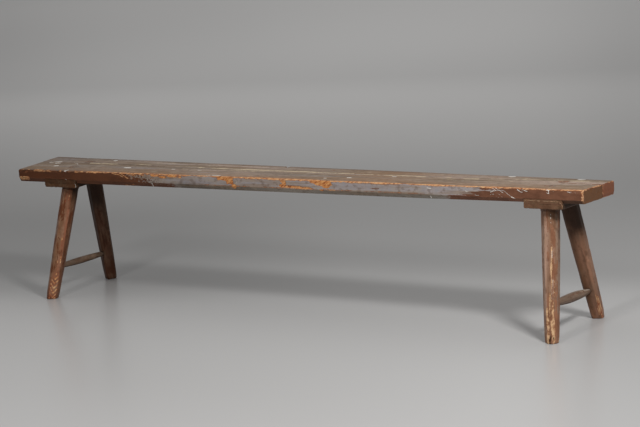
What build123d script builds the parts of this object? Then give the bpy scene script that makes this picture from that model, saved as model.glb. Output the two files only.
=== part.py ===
from build123d import *
import os

# Long farmhouse bench, in millimetres.
# +X runs along the bench, +Y points to its back edge and +Z points up.
# The origin lies on the floor, under the middle of the seat.

os.makedirs("parts", exist_ok=True)

# Seat: two planks laid edge to edge, the wide one in front. They have twisted with age: each end is
# turned seat_twist degrees about the middle, the left end with its back edge up and the right end down.
seat_height = 450
seat_twist = 2.2
seat_length = 2185
seat_width = 222
seat_thickness = 45.5
front_board_width = 134
lower_bevel_height = 14.5
lower_bevel_depth = 9
back_bevel_height = 9.5
back_bevel_depth = 6
front_arris_radius = 5
back_arris_radius = 3
end_arris_bevel = 2
joint_arris = 1.5

# Dowels hidden in the joint between the two planks
dowel_radius = 6
dowel_length = 60
dowel_count = 5
dowel_pitch = 340

# Battens: cross-pieces let into grooves under the seat, the left one wider
batten_width = {"left": 142, "right": 130}
batten_drop = 16.5
groove_depth = 14.5
batten_arris_radius = 5
batten_end_ease = 2.5
waney_edge_radius = 11
batten_x = {"left": -904, "right": 960}

# Wrought nails, driven up through the battens
nail_shank = 5
nail_point = 1.5
nail_length = 42
nail_head_width = 12
nail_head_height = 3
nail_head_taper = 50
nail_places = [(-46, -84), (46, -30), (-46, 42), (46, 84)]

# Legs: tapered, with the corners hewn off, splayed to the ends and to front and back
leg_top_x = {"left": -896, "right": 960}
leg_splay_x = {"left": 43, "right": 37}
leg_top_y = 62
foot_y = 164
leg_width_top = 56
leg_width_middle = 51
leg_width_foot = 41
leg_end_allowance = 30
trim_size = 600
shoulder_ease = 4
foot_ease = 3
tenon_radius = 16.5

# How far each leg is turned about its own axis, in degrees, and how much of its width is hewn off
# each corner
leg_turn = {"front_left": 30, "front_right": 44, "back_left": -30, "back_right": 11}
leg_corner = {"front_left": 0.195, "front_right": 0.255, "back_left": 0.195, "back_right": 0.21}

# Wedges, driven into the tenons across the grain of the seat
wedge_head = 6
wedge_tip = 1.5
wedge_depth = 36
wedge_allowance = 10

# Stretchers: whittled thicker in the middle, blind in the legs
stretcher_height = {"left": (107, 102), "right": (109, 91)}
stretcher_middle_radius = {"left": 13.5, "right": 16}
stretcher_end_radius = 10
stretcher_tenon_radius = 8.5
stretcher_overrun = 3
stretcher_flats = 10

# Shares of a stretcher's length, and how much of its swell it has there
stretcher_stations = [(0.1, 0), (0.3, 0.75), (0.5, 1), (0.7, 0.75), (0.9, 0)]

batten_thickness = batten_drop + groove_depth
seat_underside = seat_height - seat_thickness
batten_underside = seat_underside - batten_drop
front_face = -seat_width / 2
back_face = seat_width / 2
joint_y = front_face + front_board_width
ends = {"left": -1, "right": 1}
sides = {"front": -1, "back": 1}


def seat_frame(x):
    """The seat's own frame at a place along the bench: level with its top, turned by its twist there."""
    turn = -seat_twist * x / (seat_length / 2)
    middle = seat_height - seat_thickness / 2
    return Pos(x, 0, middle) * Rot(turn, 0, 0) * Pos(0, 0, seat_thickness / 2)


def front_section(inset):
    """The wide front plank's section, drawn with its top at 0 and drawn in by an inset all round."""
    outer = front_face + inset
    inner = joint_y - inset
    low = inset - seat_thickness
    corners = [
        (outer + lower_bevel_depth, low),
        (inner, low),
        (inner, -inset),
        (outer, -inset),
        (outer, low + lower_bevel_height),
    ]
    return plank_section(corners, outer, inner, front_arris_radius)


def back_section(inset):
    """The narrow back plank's section, drawn in the same way."""
    outer = back_face - inset
    inner = joint_y + inset
    low = inset - seat_thickness
    corners = [
        (inner, low),
        (outer - back_bevel_depth, low),
        (outer, low + back_bevel_height),
        (outer, -inset),
        (inner, -inset),
    ]
    return plank_section(corners, outer, inner, back_arris_radius)


def plank_section(corners, outer, inner, worn_radius):
    """Close a plank's outline and soften its two upper arrises."""
    section = make_face(Polyline(*corners, close=True))
    section = fillet(section.vertices().sort_by_distance((outer, 0))[0], worn_radius)
    return chamfer(section.vertices().sort_by_distance((inner, 0))[0], joint_arris)


def plank(section):
    """Loft a plank along the twisted seat, with its end arrises bevelled."""
    half = seat_length / 2
    stations = [
        (-half, end_arris_bevel),
        (end_arris_bevel - half, 0),
        (half - end_arris_bevel, 0),
        (half, end_arris_bevel),
    ]
    return loft([seat_frame(x) * (Plane.YZ * section(inset)) for x, inset in stations], ruled=True)


def groove(end):
    """The cut across the underside of the seat that takes a batten."""
    block = Box(batten_width[end], 2 * seat_width, 2 * groove_depth)
    return seat_frame(batten_x[end]) * Pos(0, 0, -seat_thickness) * block


def batten(end):
    """A cross-piece with rounded lower edges. The right one keeps a rounded waney upper edge."""
    size = (batten_width[end], seat_width, batten_thickness)
    bar = Box(*size, align=(Align.CENTER, Align.CENTER, Align.MIN))
    bar = chamfer(bar.edges().filter_by(Axis.Z), batten_end_ease)
    lower_edges = bar.edges().filter_by(Axis.Y).group_by(Axis.Z)[0]
    bar = fillet(lower_edges, batten_arris_radius)
    if end == "right":
        outer_edge = bar.edges().filter_by(Axis.Y).group_by(Axis.Z)[-1].sort_by(Axis.X)[-1]
        bar = fillet(outer_edge, waney_edge_radius)
    return seat_frame(batten_x[end]) * Pos(0, 0, -seat_thickness - batten_drop) * bar


def leg_point(side, end, height):
    """The point of a leg's centre line at a height above the floor."""
    rise = height / batten_underside
    x = leg_top_x[end] + ends[end] * leg_splay_x[end] * (1 - rise)
    y = sides[side] * (foot_y + (leg_top_y - foot_y) * rise)
    return Vector(x, y, height)


def leg_plane(side, end, height):
    """The plane square to a leg's centre line at a height, with its X kept along the bench."""
    here = leg_point(side, end, height)
    along = leg_point(side, end, seat_height) - leg_point(side, end, 0)
    return Plane(origin=here, x_dir=(1, 0, 0), z_dir=along)


def under_batten(end):
    """A wide block below a batten, deep enough to reach the floor, which trims the legs to it."""
    block = Box(trim_size, trim_size, trim_size, align=(Align.CENTER, Align.CENTER, Align.MAX))
    return seat_frame(batten_x[end]) * Pos(0, 0, -seat_thickness - batten_drop) * block


def above_floor():
    """A wide block that stands on the floor."""
    size = 2 * seat_length
    return Box(size, size, seat_height, align=(Align.CENTER, Align.CENTER, Align.MIN))


def under_seat_top(end):
    """A wide block below the top of the seat, which trims tenons and wedges flush."""
    block = Box(trim_size, trim_size, trim_size, align=(Align.CENTER, Align.CENTER, Align.MAX))
    return seat_frame(batten_x[end]) * block


def leg_section(side, end, height, width):
    """A leg's cross-section: a square with its corners hewn off."""
    name = f"{side}_{end}"
    square = Rectangle(width, width, rotation=leg_turn[name])
    hewn = chamfer(square.vertices(), width * leg_corner[name])
    return leg_plane(side, end, height) * hewn


def leg_shaft(side, end):
    """The hewn part of a leg, from the floor to the batten, with a slight swell."""
    stations = [
        (-leg_end_allowance, leg_width_foot),
        (batten_underside / 2, leg_width_middle),
        (batten_underside + leg_end_allowance, leg_width_top),
    ]
    shaft = loft([leg_section(side, end, height, width) for height, width in stations])
    shaft = shaft & under_batten(end) & above_floor()
    shaft = chamfer(shaft.faces().sort_by(Axis.Z)[-1].edges(), shoulder_ease)
    return chamfer(shaft.faces().sort_by(Axis.Z)[0].edges(), foot_ease)


def leg_tenon(side, end):
    """The round tenon that goes up through the batten and the seat and is cut off flush."""
    root = leg_plane(side, end, batten_underside - leg_end_allowance / 2)
    length = batten_drop + seat_thickness + 2 * leg_end_allowance
    rod = Cylinder(tenon_radius, length, align=(Align.CENTER, Align.CENTER, Align.MIN))
    return (root * rod) & under_seat_top(end)


def leg_wedge(side, end, tenon):
    """The wedge in the top of a tenon, as wide as the tenon and thin along the seat's grain."""
    outline = Polyline(
        (-wedge_head / 2, wedge_allowance),
        (wedge_head / 2, wedge_allowance),
        (wedge_tip / 2, -wedge_depth),
        (-wedge_tip / 2, -wedge_depth),
        close=True,
    )
    upright = leg_plane(side, end, seat_height) * Rot(90, 0, 0)
    slab = extrude(upright * make_face(outline), 2 * tenon_radius, both=True)
    return slab & tenon


def stretcher(end):
    """A whittled bar from the front leg to the back leg, with round blind tenons in both."""
    front_height, back_height = stretcher_height[end]
    front_point = leg_point("front", end, front_height)
    back_point = leg_point("back", end, back_height)
    direction = (back_point - front_point).normalized()
    start = front_point - direction * stretcher_overrun
    length = (back_point - front_point).length + 2 * stretcher_overrun
    swell = stretcher_middle_radius[end] - stretcher_end_radius
    belly = [
        Pos(0, 0, share * length) * RegularPolygon(stretcher_end_radius + swell * fullness, stretcher_flats)
        for share, fullness in stretcher_stations
    ]
    core = Cylinder(stretcher_tenon_radius, length, align=(Align.CENTER, Align.CENTER, Align.MIN))
    return Plane(origin=start, x_dir=(1, 0, 0), z_dir=direction) * (loft(belly) + core)


def nail():
    """A wrought nail, point up: a square tapered shank on a low faceted head."""
    shank = loft([Rectangle(nail_shank, nail_shank), Pos(0, 0, nail_length) * Rectangle(nail_point, nail_point)])
    head = extrude(Rectangle(nail_head_width, nail_head_width), -nail_head_height, taper=nail_head_taper)
    return shank + head


def nails(end):
    """The four nails of one batten, two into each plank."""
    underside = seat_frame(batten_x[end]) * Pos(0, 0, -seat_thickness - batten_drop)
    return [underside * Pos(x, y, 0) * nail() for x, y in nail_places]


def dowels():
    """Evenly spaced dowels across the joint, at mid-thickness."""
    first = -dowel_pitch * (dowel_count - 1) / 2
    places = [first + i * dowel_pitch for i in range(dowel_count)]
    peg = Pos(0, joint_y, -seat_thickness / 2) * Rot(90, 0, 0) * Cylinder(dowel_radius, dowel_length)
    return [seat_frame(x) * peg for x in places]


def save(name, shape):
    """Write one node."""
    shape.label = name
    export_step(shape, f"parts/{name}.step")


def build():
    """Make every piece, cut the joints and write one file per node."""
    pieces = {"seat_board_front": plank(front_section), "seat_board_back": plank(back_section)}
    boards = ["seat_board_front", "seat_board_back"]
    dowel_group = dowels()
    nail_group = []

    for name in boards:
        for peg in dowel_group:
            pieces[name] -= peg

    for end in ends:
        batten_name = f"batten_{end}"
        batten_nails = nails(end)
        nail_group += batten_nails
        pieces[batten_name] = batten(end)
        bar = stretcher(end)
        pieces[f"stretcher_{end}"] = bar

        for name in boards:
            pieces[name] -= groove(end)

        for side in sides:
            tenon = leg_tenon(side, end)
            wedge = leg_wedge(side, end, tenon)
            pieces[f"leg_{side}_{end}"] = leg_shaft(side, end) + tenon - wedge - bar
            pieces[f"leg_wedge_{side}_{end}"] = wedge
            pieces[f"seat_board_{side}"] -= tenon
            pieces[batten_name] -= tenon

        for spike in batten_nails:
            pieces[batten_name] -= spike
            for name in boards:
                pieces[name] -= spike

    for name, shape in pieces.items():
        save(name, shape)
    save("seat_dowels", Compound(children=dowel_group))
    save("batten_nails", Compound(children=nail_group))


build()
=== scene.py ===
import math

import bmesh
import bpy
import numpy as np
from mathutils import Matrix, Vector


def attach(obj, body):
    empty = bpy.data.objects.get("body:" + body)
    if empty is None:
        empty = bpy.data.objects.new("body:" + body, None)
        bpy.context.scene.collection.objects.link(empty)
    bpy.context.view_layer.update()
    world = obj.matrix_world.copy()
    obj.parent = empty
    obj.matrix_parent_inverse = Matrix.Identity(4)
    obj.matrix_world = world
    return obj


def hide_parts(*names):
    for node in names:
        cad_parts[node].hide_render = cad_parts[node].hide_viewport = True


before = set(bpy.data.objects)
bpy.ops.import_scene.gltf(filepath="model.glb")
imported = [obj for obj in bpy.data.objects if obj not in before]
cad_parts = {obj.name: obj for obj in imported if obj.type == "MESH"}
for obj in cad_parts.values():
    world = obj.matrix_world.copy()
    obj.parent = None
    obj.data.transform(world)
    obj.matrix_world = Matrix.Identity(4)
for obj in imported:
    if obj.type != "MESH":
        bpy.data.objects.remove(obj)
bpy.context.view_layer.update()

# All lengths are in metres. Seat coordinates are x along the bench, y across it and w above the seat top.
SEAT_TWIST = math.radians(2.2)
SEAT_HALF, SEAT_MIDDLE, SEAT_THICK = 1.0925, 0.42725, 0.0455
FRONT_FACE, JOINT, BACK_FACE = -0.111, 0.023, 0.111
FRONT_BEVEL, BACK_BEVEL = -0.031, -0.036
BATTEN_UNDER, BATTEN_OVER = -0.062, -0.031
BATTEN_X = {"left": -0.904, "right": 0.960}
BATTEN_HALF = {"left": 0.071, "right": 0.065}
ENDS = {"left": -1, "right": 1}
SIDES = {"front": -1, "back": 1}
LEG_RISE = 0.388
LEG_TOP_X = {"left": -0.896, "right": 0.960}
LEG_SPLAY = {"left": 0.043, "right": 0.037}
FOOT_Y, LEG_TOP_Y = 0.164, 0.062
LEG_WIDTHS = [(-0.030, 0.041), (0.194, 0.051), (0.418, 0.056)]
LEG_TURN = {"front_left": 30, "front_right": 44, "back_left": -30, "back_right": 11}
LEG_CORNER = {"front_left": 0.195, "front_right": 0.255, "back_left": 0.195, "back_right": 0.21}
LEG_SEED = {"front_left": 80, "front_right": 90, "back_left": 100, "back_right": 110}
FOOT_EASE, SHOULDER_EASE = 0.003, 0.004
TENON = 0.0165
STRETCHER_HEIGHT = {"left": (0.107, 0.102), "right": (0.109, 0.091)}
STRETCHER_MIDDLE = {"left": 0.0135, "right": 0.016}
STRETCHER_END, STRETCHER_TENON, STRETCHER_OVERRUN = 0.010, 0.0085, 0.003

# The camera's place, and the level ways to its right and away from it
CAMERA_PLACE = (3.4963, -5.1755, 1.4621)
VIEW_RIGHT = (0.836, 0.549, 0)
VIEW_AWAY = (-0.549, 0.836, 0)


# Noise and masks ------------------------------------------------------------------------------------

def smooth_noise(points, seed):
    """Smooth noise from -1 to 1 at points in lattice steps."""
    table = np.random.default_rng(seed).uniform(-1, 1, (32, 32, 32))
    low = np.floor(points).astype(int)
    part = points - low
    part = part * part * (3 - 2 * part)
    total = np.zeros(points.shape[:-1])
    for corner in np.ndindex(2, 2, 2):
        weight = np.prod(np.where(corner, part, 1 - part), axis=-1)
        i, j, k = np.moveaxis((low + corner) % 32, -1, 0)
        total += weight * table[i, j, k]
    return total


def noise(points, steps, seed, octaves=3):
    """Layered noise from about -1 to 1, with a step length along each axis."""
    scaled = np.asarray(points) / np.asarray(steps)
    total, height = 0, 0.6
    for octave in range(octaves):
        total = total + height * smooth_noise(scaled * 2 ** octave + 7.3 * octave, seed + octave)
        height *= 0.55
    return total


def noise_at(points, seed):
    """Noise at a piece's points, as a function of its steps and of what is added to the seed."""
    return lambda steps, more=0, octaves=3: noise(points, steps, seed + more, octaves)


def step(low, high, values):
    """Smooth step from 0 at low to 1 at high."""
    share = np.clip((np.asarray(values) - low) / (high - low), 0, 1)
    return share * share * (3 - 2 * share)


def near(values, centre, width):
    """A bell of 1 at the centre that fades over a width."""
    return np.exp(-((np.asarray(values) - centre) / width) ** 2)


def ease(distance, radius):
    """How far a rounded edge is drawn in, at a distance from the end."""
    rest = np.clip(radius - distance, 0, radius)
    return radius - np.sqrt(np.maximum(radius ** 2 - rest ** 2, 0))


def spots(a, b, marks):
    """Soft ellipses, each (centre a, centre b, half length, half width, strength) in mm."""
    total = np.zeros(np.shape(a))
    for ca, cb, ra, rb, strength in marks:
        far = ((a * 1000 - ca) / ra) ** 2 + ((b * 1000 - cb) / rb) ** 2
        total = np.maximum(total, strength * np.clip(1.6 - far, 0, 1))
    return total


def strokes(a, b, marks):
    """Soft strokes, each (start a, start b, end a, end b, half width, strength) in mm."""
    total = np.zeros(np.shape(a))
    for a0, b0, a1, b1, half, strength in marks:
        da, db = a1 - a0, b1 - b0
        share = np.clip(((a * 1000 - a0) * da + (b * 1000 - b0) * db) / max(da * da + db * db, 1e-9), 0, 1)
        far = np.hypot(a * 1000 - a0 - da * share, b * 1000 - b0 - db * share) / half
        total = np.maximum(total, strength * np.clip(1.5 - far, 0, 1))
    return total


def highest(*parts):
    """The strongest of several masks, point by point."""
    total = parts[0]
    for part in parts[1:]:
        total = np.maximum(total, part)
    return total


# Meshes ---------------------------------------------------------------------------------------------

def link(name, data):
    """Put a new object in the scene."""
    thing = bpy.data.objects.new(name, data)
    bpy.context.scene.collection.objects.link(thing)
    return thing


def outline(corners, radii, spacing, extra=()):
    """A closed outline with rounded corners, anticlockwise, as points and outward normals.

    Each extra point, such as a crack, gets a point of its own between two close ones."""
    corners = np.array(corners, float)
    count = len(corners)
    gaps = np.broadcast_to(spacing, count)
    arcs = []
    for i in range(count):
        before, after = corners[i] - corners[i - 1], corners[(i + 1) % count] - corners[i]
        u, v = before / np.linalg.norm(before), after / np.linalg.norm(after)
        turn = math.atan2(u[0] * v[1] - u[1] * v[0], u @ v)
        normal = np.array([u[1], -u[0]])
        centre = corners[i] - u * (radii[i] * math.tan(turn / 2)) - normal * radii[i]
        arc = []
        for share in np.linspace(0, 1, 5):
            angle = math.atan2(normal[1], normal[0]) + turn * share
            n = np.array([math.cos(angle), math.sin(angle)])
            arc.append((centre + n * radii[i], n))
        arcs.append((arc, np.array([v[1], -v[0]])))
    points, normals = [], []
    for i, (arc, normal) in enumerate(arcs):
        points += [point for point, _ in arc]
        normals += [n for _, n in arc]
        start, end = points[-1], arcs[(i + 1) % count][0][0][0]
        length = np.linalg.norm(end - start)
        places = list(np.linspace(0, 1, max(2, round(length / gaps[i])) + 1)[1:-1])
        for point in extra:
            off = np.array(point) - start
            along = off @ (end - start) / length ** 2
            if 0.02 < along < 0.98 and abs(np.cross(off, end - start)) / length < 1e-6:
                gap = 0.0008 / length
                places = [p for p in places if abs(p - along) > 0.0014 / length]
                places += [along - gap, along, along + gap]
        points += [start + (end - start) * share for share in sorted(places)]
        normals += [normal] * len(places)
    return np.array(points), np.array(normals)


def grid_mesh(name, rings):
    """A closed mesh from a stack of rings of points, with an n-gon on each end."""
    rows, columns = rings.shape[:2]
    index = np.arange(rows * columns).reshape(rows, columns)
    after = np.roll(index, -1, axis=1)
    quads = np.stack([index[:-1], after[:-1], after[1:], index[1:]], -1).reshape(-1, 4)
    faces = quads.tolist() + [index[0][::-1].tolist(), index[-1].tolist()]
    mesh = bpy.data.meshes.new(name)
    mesh.from_pydata(rings.reshape(-1, 3).tolist(), [], faces)
    mesh.validate()
    mesh.polygons.foreach_set("use_smooth", np.ones(len(mesh.polygons), bool))
    mesh.update()
    return link(name, mesh)


def swept_rings(section, half, spacing, end_round, medial, reach, place, breaks=()):
    """Rings of a bar with rounded end arrises and gridded ends that close on the section's medial line."""
    body = np.linspace(-half + end_round, half - end_round, max(2, round(2 * half / spacing)))
    if len(breaks):
        body = np.array(sorted([*body[(body < min(breaks) - 0.001) | (body > max(breaks) + 0.001)], *breaks]))
    right = []
    for turn in np.linspace(0, math.pi / 2, 5)[1:]:
        right.append((half - end_round + end_round * math.sin(turn), end_round * (1 - math.cos(turn)) / reach))
    last = right[-1][1]
    right += [(half, last + (0.97 - last) * share) for share in (0.13, 0.30, 0.48, 0.66, 0.84, 1)]
    left = [(-along, shrink) for along, shrink in reversed(right)]
    rings = []
    for along, shrink in left + [(along, 0) for along in body] + right:
        ring = section + (medial(section) - section) * shrink
        rings.append(place(np.full(len(ring), along), ring[:, 0], ring[:, 1]))
    return np.array(rings)


def read(piece):
    """A piece's vertex places and normals."""
    count = len(piece.data.vertices)
    places, normals = np.zeros(count * 3), np.zeros(count * 3)
    piece.data.vertices.foreach_get("co", places)
    piece.data.vertices.foreach_get("normal", normals)
    return places.reshape(-1, 3), normals.reshape(-1, 3)


def move(piece, places):
    """Put a piece's vertices in new places."""
    piece.data.vertices.foreach_set("co", places.ravel())
    piece.data.update()


def sink(piece, depth):
    """Wear: move each vertex inwards along its normal by a depth in metres."""
    places, normals = read(piece)
    move(piece, places - normals * depth[:, None])


def cut(piece, *nodes):
    """Cut the space of CAD nodes out of a piece, with closed copies of the nodes as cutters."""
    cutters = []
    for node in nodes:
        shape = bmesh.new()
        shape.from_mesh(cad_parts[node].data)
        bmesh.ops.remove_doubles(shape, verts=shape.verts, dist=1e-6)
        mesh = bpy.data.meshes.new("cutter")
        shape.to_mesh(mesh)
        shape.free()
        cutters.append(link("cutter", mesh))
        tool = piece.modifiers.new("cut", "BOOLEAN")
        tool.operation, tool.solver, tool.object = "DIFFERENCE", "MANIFOLD", cutters[-1]
    graph = bpy.context.evaluated_depsgraph_get()
    made = bpy.data.meshes.new_from_object(piece.evaluated_get(graph))
    piece.modifiers.clear()
    old, piece.data = piece.data, made
    made.name = piece.name
    for mesh in [old, *(cutter.data for cutter in cutters)]:
        bpy.data.meshes.remove(mesh)
    made.polygons.foreach_set("use_smooth", np.ones(len(made.polygons), bool))


# The grime layer holds dirt and painted shade, the low layer paints shade on the front bevel, and the tone layer holds
# tone and the painted light falloff from each colour's darker left copy to its lighter right copy
LAYERS = ("coat", "blue", "low", "bare", "white", "pale", "warm", "grime", "endwise", "tone")


def paint(piece, grain, **masks):
    """Store the grain places and the masks, each kept between 0 and 1, that the materials read."""
    layer = piece.data.attributes.new("grain", "FLOAT_VECTOR", "POINT")
    layer.data.foreach_set("vector", grain.ravel())
    for name in LAYERS:
        values = np.clip(masks.get(name, 0), 0, 1) * np.ones(len(piece.data.vertices))
        piece.data.attributes.new(name, "FLOAT", "POINT").data.foreach_set("value", values)


def seat_place(x, y, w):
    """Seat coordinates to the frame, with the seat's twist."""
    turn = -SEAT_TWIST * x / SEAT_HALF
    up = w + SEAT_THICK / 2
    return np.stack([x, y * np.cos(turn) - up * np.sin(turn), SEAT_MIDDLE + y * np.sin(turn) + up * np.cos(turn)], -1)


def seat_coordinates(piece):
    """A piece's seat coordinates and its normals' parts along, across and up, then its points as one array."""
    places, normals = read(piece)
    x = places[:, 0]
    turn = -SEAT_TWIST * x / SEAT_HALF
    dz = places[:, 2] - SEAT_MIDDLE
    y = places[:, 1] * np.cos(turn) + dz * np.sin(turn)
    w = dz * np.cos(turn) - places[:, 1] * np.sin(turn) - SEAT_THICK / 2
    ny = normals[:, 1] * np.cos(turn) + normals[:, 2] * np.sin(turn)
    nw = normals[:, 2] * np.cos(turn) - normals[:, 1] * np.sin(turn)
    return x, y, w, normals[:, 0], ny, nw, np.stack([x, y, w], -1)


# Seat planks ----------------------------------------------------------------------------------------

NOTCH_X = -0.087
# Drying cracks in the seat top, along the grain: (place across, start, end, depth)
CRACKS = [
    (-0.074, -1.10, -0.62, 0.0022), (-0.074, 0.34, 0.78, 0.0016), (-0.038, -0.35, 0.20, 0.0018),
    (-0.038, 0.80, 1.10, 0.0022), (0.002, -0.80, -0.45, 0.0016), (0.002, 0.52, 1.10, 0.0020),
    (0.058, -1.10, -0.70, 0.0020), (0.058, 0.05, 0.60, 0.0017), (0.086, -0.45, 0.15, 0.0016),
    (0.086, 0.72, 1.10, 0.0020),
]

# Spots and strokes of bare wood on the front, as spots() and strokes() take them
BARE_FRONT = [
    (-196, -6, 34, 7, 1), (-176, -17, 14, 9, 1), (-160, -32, 9, 7, 0.9), (34, -8, 9, 4.5, 0.9),
    (38, -15, 7, 6, 1), (30, -22, 10, 5, 1), (70, -25, 34, 4, 0.9), (118, -27, 30, 3, 0.7),
    (176, -6, 38, 6, 1), (188, -12, 30, 7, 1), (198, -19, 15, 6, 0.9), (182, -31, 7, 4, 0.7),
    (-486, -5, 18, 3.5, 0.8), (-452, -9, 14, 4, 0.8), (-412, -5, 22, 4, 0.9), (-380, -7, 12, 3.5, 0.7),
]
BARE_STROKES = [
    (-668, -3, -640, -7, 1.8, 0.8), (-640, -6, -620, -15, 1.5, 0.9), (-630, -3, -598, -19, 1.5, 0.9),
    (-612, -14, -592, -26, 1.3, 0.8), (-598, -5, -566, -8, 1.7, 0.8), (-588, -12, -572, -20, 1.2, 0.7),
    (-650, -16, -636, -22, 1.1, 0.6), (-552, -4, -530, -7, 1.6, 0.7), (-520, -8, -508, -13, 1.1, 0.6),
]


def plank(side):
    """One seat plank as a dense mesh on the twisted seat, finer where it has its marks."""
    if side == "front":
        corners = [
            (-0.102, -SEAT_THICK), (JOINT, -SEAT_THICK), (JOINT, 0), (FRONT_FACE, 0), (FRONT_FACE, FRONT_BEVEL),
        ]
        radii = [0.0012, 0.001, 0.0015, 0.0042, 0.0015]
        gaps = [0.008, 0.006, 0.0034, 0.0016, 0.0028]
        spans = [(0.776, 0.910, 0.0013), (0.911, 0.967, 0.0034), (0.969, 0.986, 0.0012)]
        breaks = np.concatenate([np.arange(*span) for span in spans])
        low, high = FRONT_FACE + 0.021, JOINT - 0.021
    else:
        corners = [(JOINT, -SEAT_THICK), (0.105, -SEAT_THICK), (BACK_FACE, BACK_BEVEL), (BACK_FACE, 0), (JOINT, 0)]
        radii = [0.001, 0.002, 0.002, 0.0035, 0.0015]
        gaps = [0.007, 0.004, 0.0034, 0.0034, 0.006]
        breaks = NOTCH_X + np.arange(-0.010, 0.0101, 0.001)
        low, high = JOINT + 0.021, BACK_FACE - 0.021
    cracks = [(place, 0) for place in sorted({crack[0] for crack in CRACKS}) if (place < JOINT) == (side == "front")]
    section, _ = outline(corners, radii, gaps, cracks)

    def medial(ring):
        return np.stack([np.clip(ring[:, 0], low, high), np.full(len(ring), -SEAT_THICK / 2)], -1)

    rings = swept_rings(section, SEAT_HALF, 0.0034, 0.0025, medial, SEAT_THICK / 2, seat_place, breaks)
    return grid_mesh(f"visual_seat_{side}", rings)


def bare_front(x, w, p):
    """Where the front has lost all its paint."""
    slanted = np.stack([x + 1.3 * w, p[:, 1], w], -1)
    ragged = noise(slanted, (0.010, 0.01, 0.004), 71) + 0.6 * noise(p, (0.022, 0.01, 0.008), 75)
    patches = spots(x, w, BARE_FRONT)
    return patches + 0.55 * ragged * (patches > 0.01)


def wear_plank(piece, side):
    """Undulation, raised grain, worn arrises, chips, cracks, the notch and the uneven right end."""
    x, y, w, nx, ny, nw, p = seat_coordinates(piece)
    front = side == "front"
    outer, bevel_top = (FRONT_FACE, FRONT_BEVEL) if front else (BACK_FACE, BACK_BEVEL)
    rough = noise_at(p, 20 if front else 40)
    from_arris = np.hypot(y - outer, w)
    depth = 0.0002 + 0.0003 * (1 + rough((0.22, 0.035, 0.05)))
    depth += 0.00016 * (1 + rough((0.10, 0.0045, 0.0045), 3, 2)) * (1 - step(0.5, 0.9, np.abs(nx)))
    depth += 0.0004 * step(0.5, 0.9, nx) * (1 + rough((0.02, 0.006, 0.006), 5))
    bite = step(0.15, 0.75, rough((0.035, 0.2, 0.2), 7))
    depth += near(from_arris, 0, 0.0065) * (0.0003 + (0.0019 if front else 0.0005) * bite)
    low_arris = near(np.hypot(y - outer, w - bevel_top), 0, 0.004)
    depth += low_arris * 0.0002 * step(0.0, 0.8, rough((0.05, 0.2, 0.2), 9))
    depth *= 1 - 0.75 * step(0.1, 0.5, -nw)
    end_line = near(np.abs(x), SEAT_HALF, 0.004)
    depth += end_line * 0.0018 * step(0.0, 0.7, rough((0.2, 0.014, 0.012), 11)) * (0.4 + 0.6 * step(0, 1, x))
    chips = step(0.5, 1, x) * 0.0026 * step(0.0, 0.5, rough((0.2, 0.008, 0.2), 15))
    depth += end_line * near(w, 0, 0.006) * chips
    depth += 0.42 * ease(np.hypot(x + SEAT_HALF, w), 0.011 if front else 0.006)
    depth += 0.25 * ease(np.hypot(x + SEAT_HALF, y - outer), 0.010)
    if not front:
        depth += 0.30 * ease(np.hypot(x - SEAT_HALF, w + 0.0425), 0.010)
        depth += 0.25 * ease(np.hypot(x - SEAT_HALF, y - outer), 0.008)
    rough_left = (1 - step(-0.90, -0.50, x)) * step(-0.1, 0.6, rough((0.012, 0.2, 0.2), 17))
    depth += 0.0014 * rough_left * near(from_arris, 0, 0.006)
    cracks = np.zeros(len(x))
    for place, start, end, deep in CRACKS:
        inside = step(start, start + 0.05, x) * (1 - step(end - 0.05, end, x))
        cracks += inside * deep * (np.abs(y - place) < 0.0004)
    uneven = 0.75 + 0.35 * noise(np.stack([x, y, y], -1), (0.03, 0.2, 0.2), 20 if front else 40)
    depth += cracks * uneven * step(0.5, 0.95, nw)
    joint_arris = near(np.hypot(y - JOINT, w), 0, 0.004)
    depth += joint_arris * (0.0005 + 0.0016 * step(0.1, 0.8, rough((0.08, 0.2, 0.2), 13)))
    if front:
        depth += 0.0021875 * spots(x, w, [(-1084, -38, 34, 9, 1)]) * step(0.2, 0.6, -ny)
        depth += 0.0009 * step(0.3, 0.7, bare_front(x, w, p)) * step(0.6, 0.9, -ny)
    sink(piece, depth)

    # The planks are thinner below towards the right end, and the top there is uneven
    x, y, w, *_ = seat_coordinates(piece)
    upper = step(-0.03, -0.008, w)
    w = w - 0.17 * np.minimum(w - FRONT_BEVEL, 0) * step(0.45, 1.05, x)
    if front:
        w = w - 0.0019 * upper * step(0.90, 1.06, x) * step(-0.02, 0.02, y)
    else:
        w = w - 0.0006 * upper * step(0.92, 1.06, x) * step(0.04, 0.11, y)
        notch = np.clip(1 - np.abs(x - NOTCH_X) / 0.0085, 0, 1) * step(-0.02, -0.004, w) * step(0.082, 0.106, y)
        y = y - 0.010 * notch
        w = w - 0.0048 * notch
    move(piece, seat_place(x, y, w))


# Battens, legs and stretchers -------------------------------------------------------------------------

def batten(end):
    """A cross-piece under the seat, rounded below. The right one keeps a waney upper edge."""
    half = BATTEN_HALF[end]
    corners = [(-half, BATTEN_UNDER), (half, BATTEN_UNDER), (half, BATTEN_OVER), (-half, BATTEN_OVER)]
    section, _ = outline(corners, [0.005, 0.005, 0.011 if end == "right" else 0.001, 0.001], 0.0032)

    def medial(ring):
        return np.stack([np.clip(ring[:, 0], 0.016 - half, half - 0.016), np.full(len(ring), -0.0465)], -1)

    def place(along, u, v):
        spot = seat_place(np.full(len(u), BATTEN_X[end]), -along, v)
        spot[:, 0] += u
        return spot

    return grid_mesh(f"visual_batten_{end}", swept_rings(section, 0.111, 0.0032, 0.0022, medial, 0.0155, place))


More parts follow.
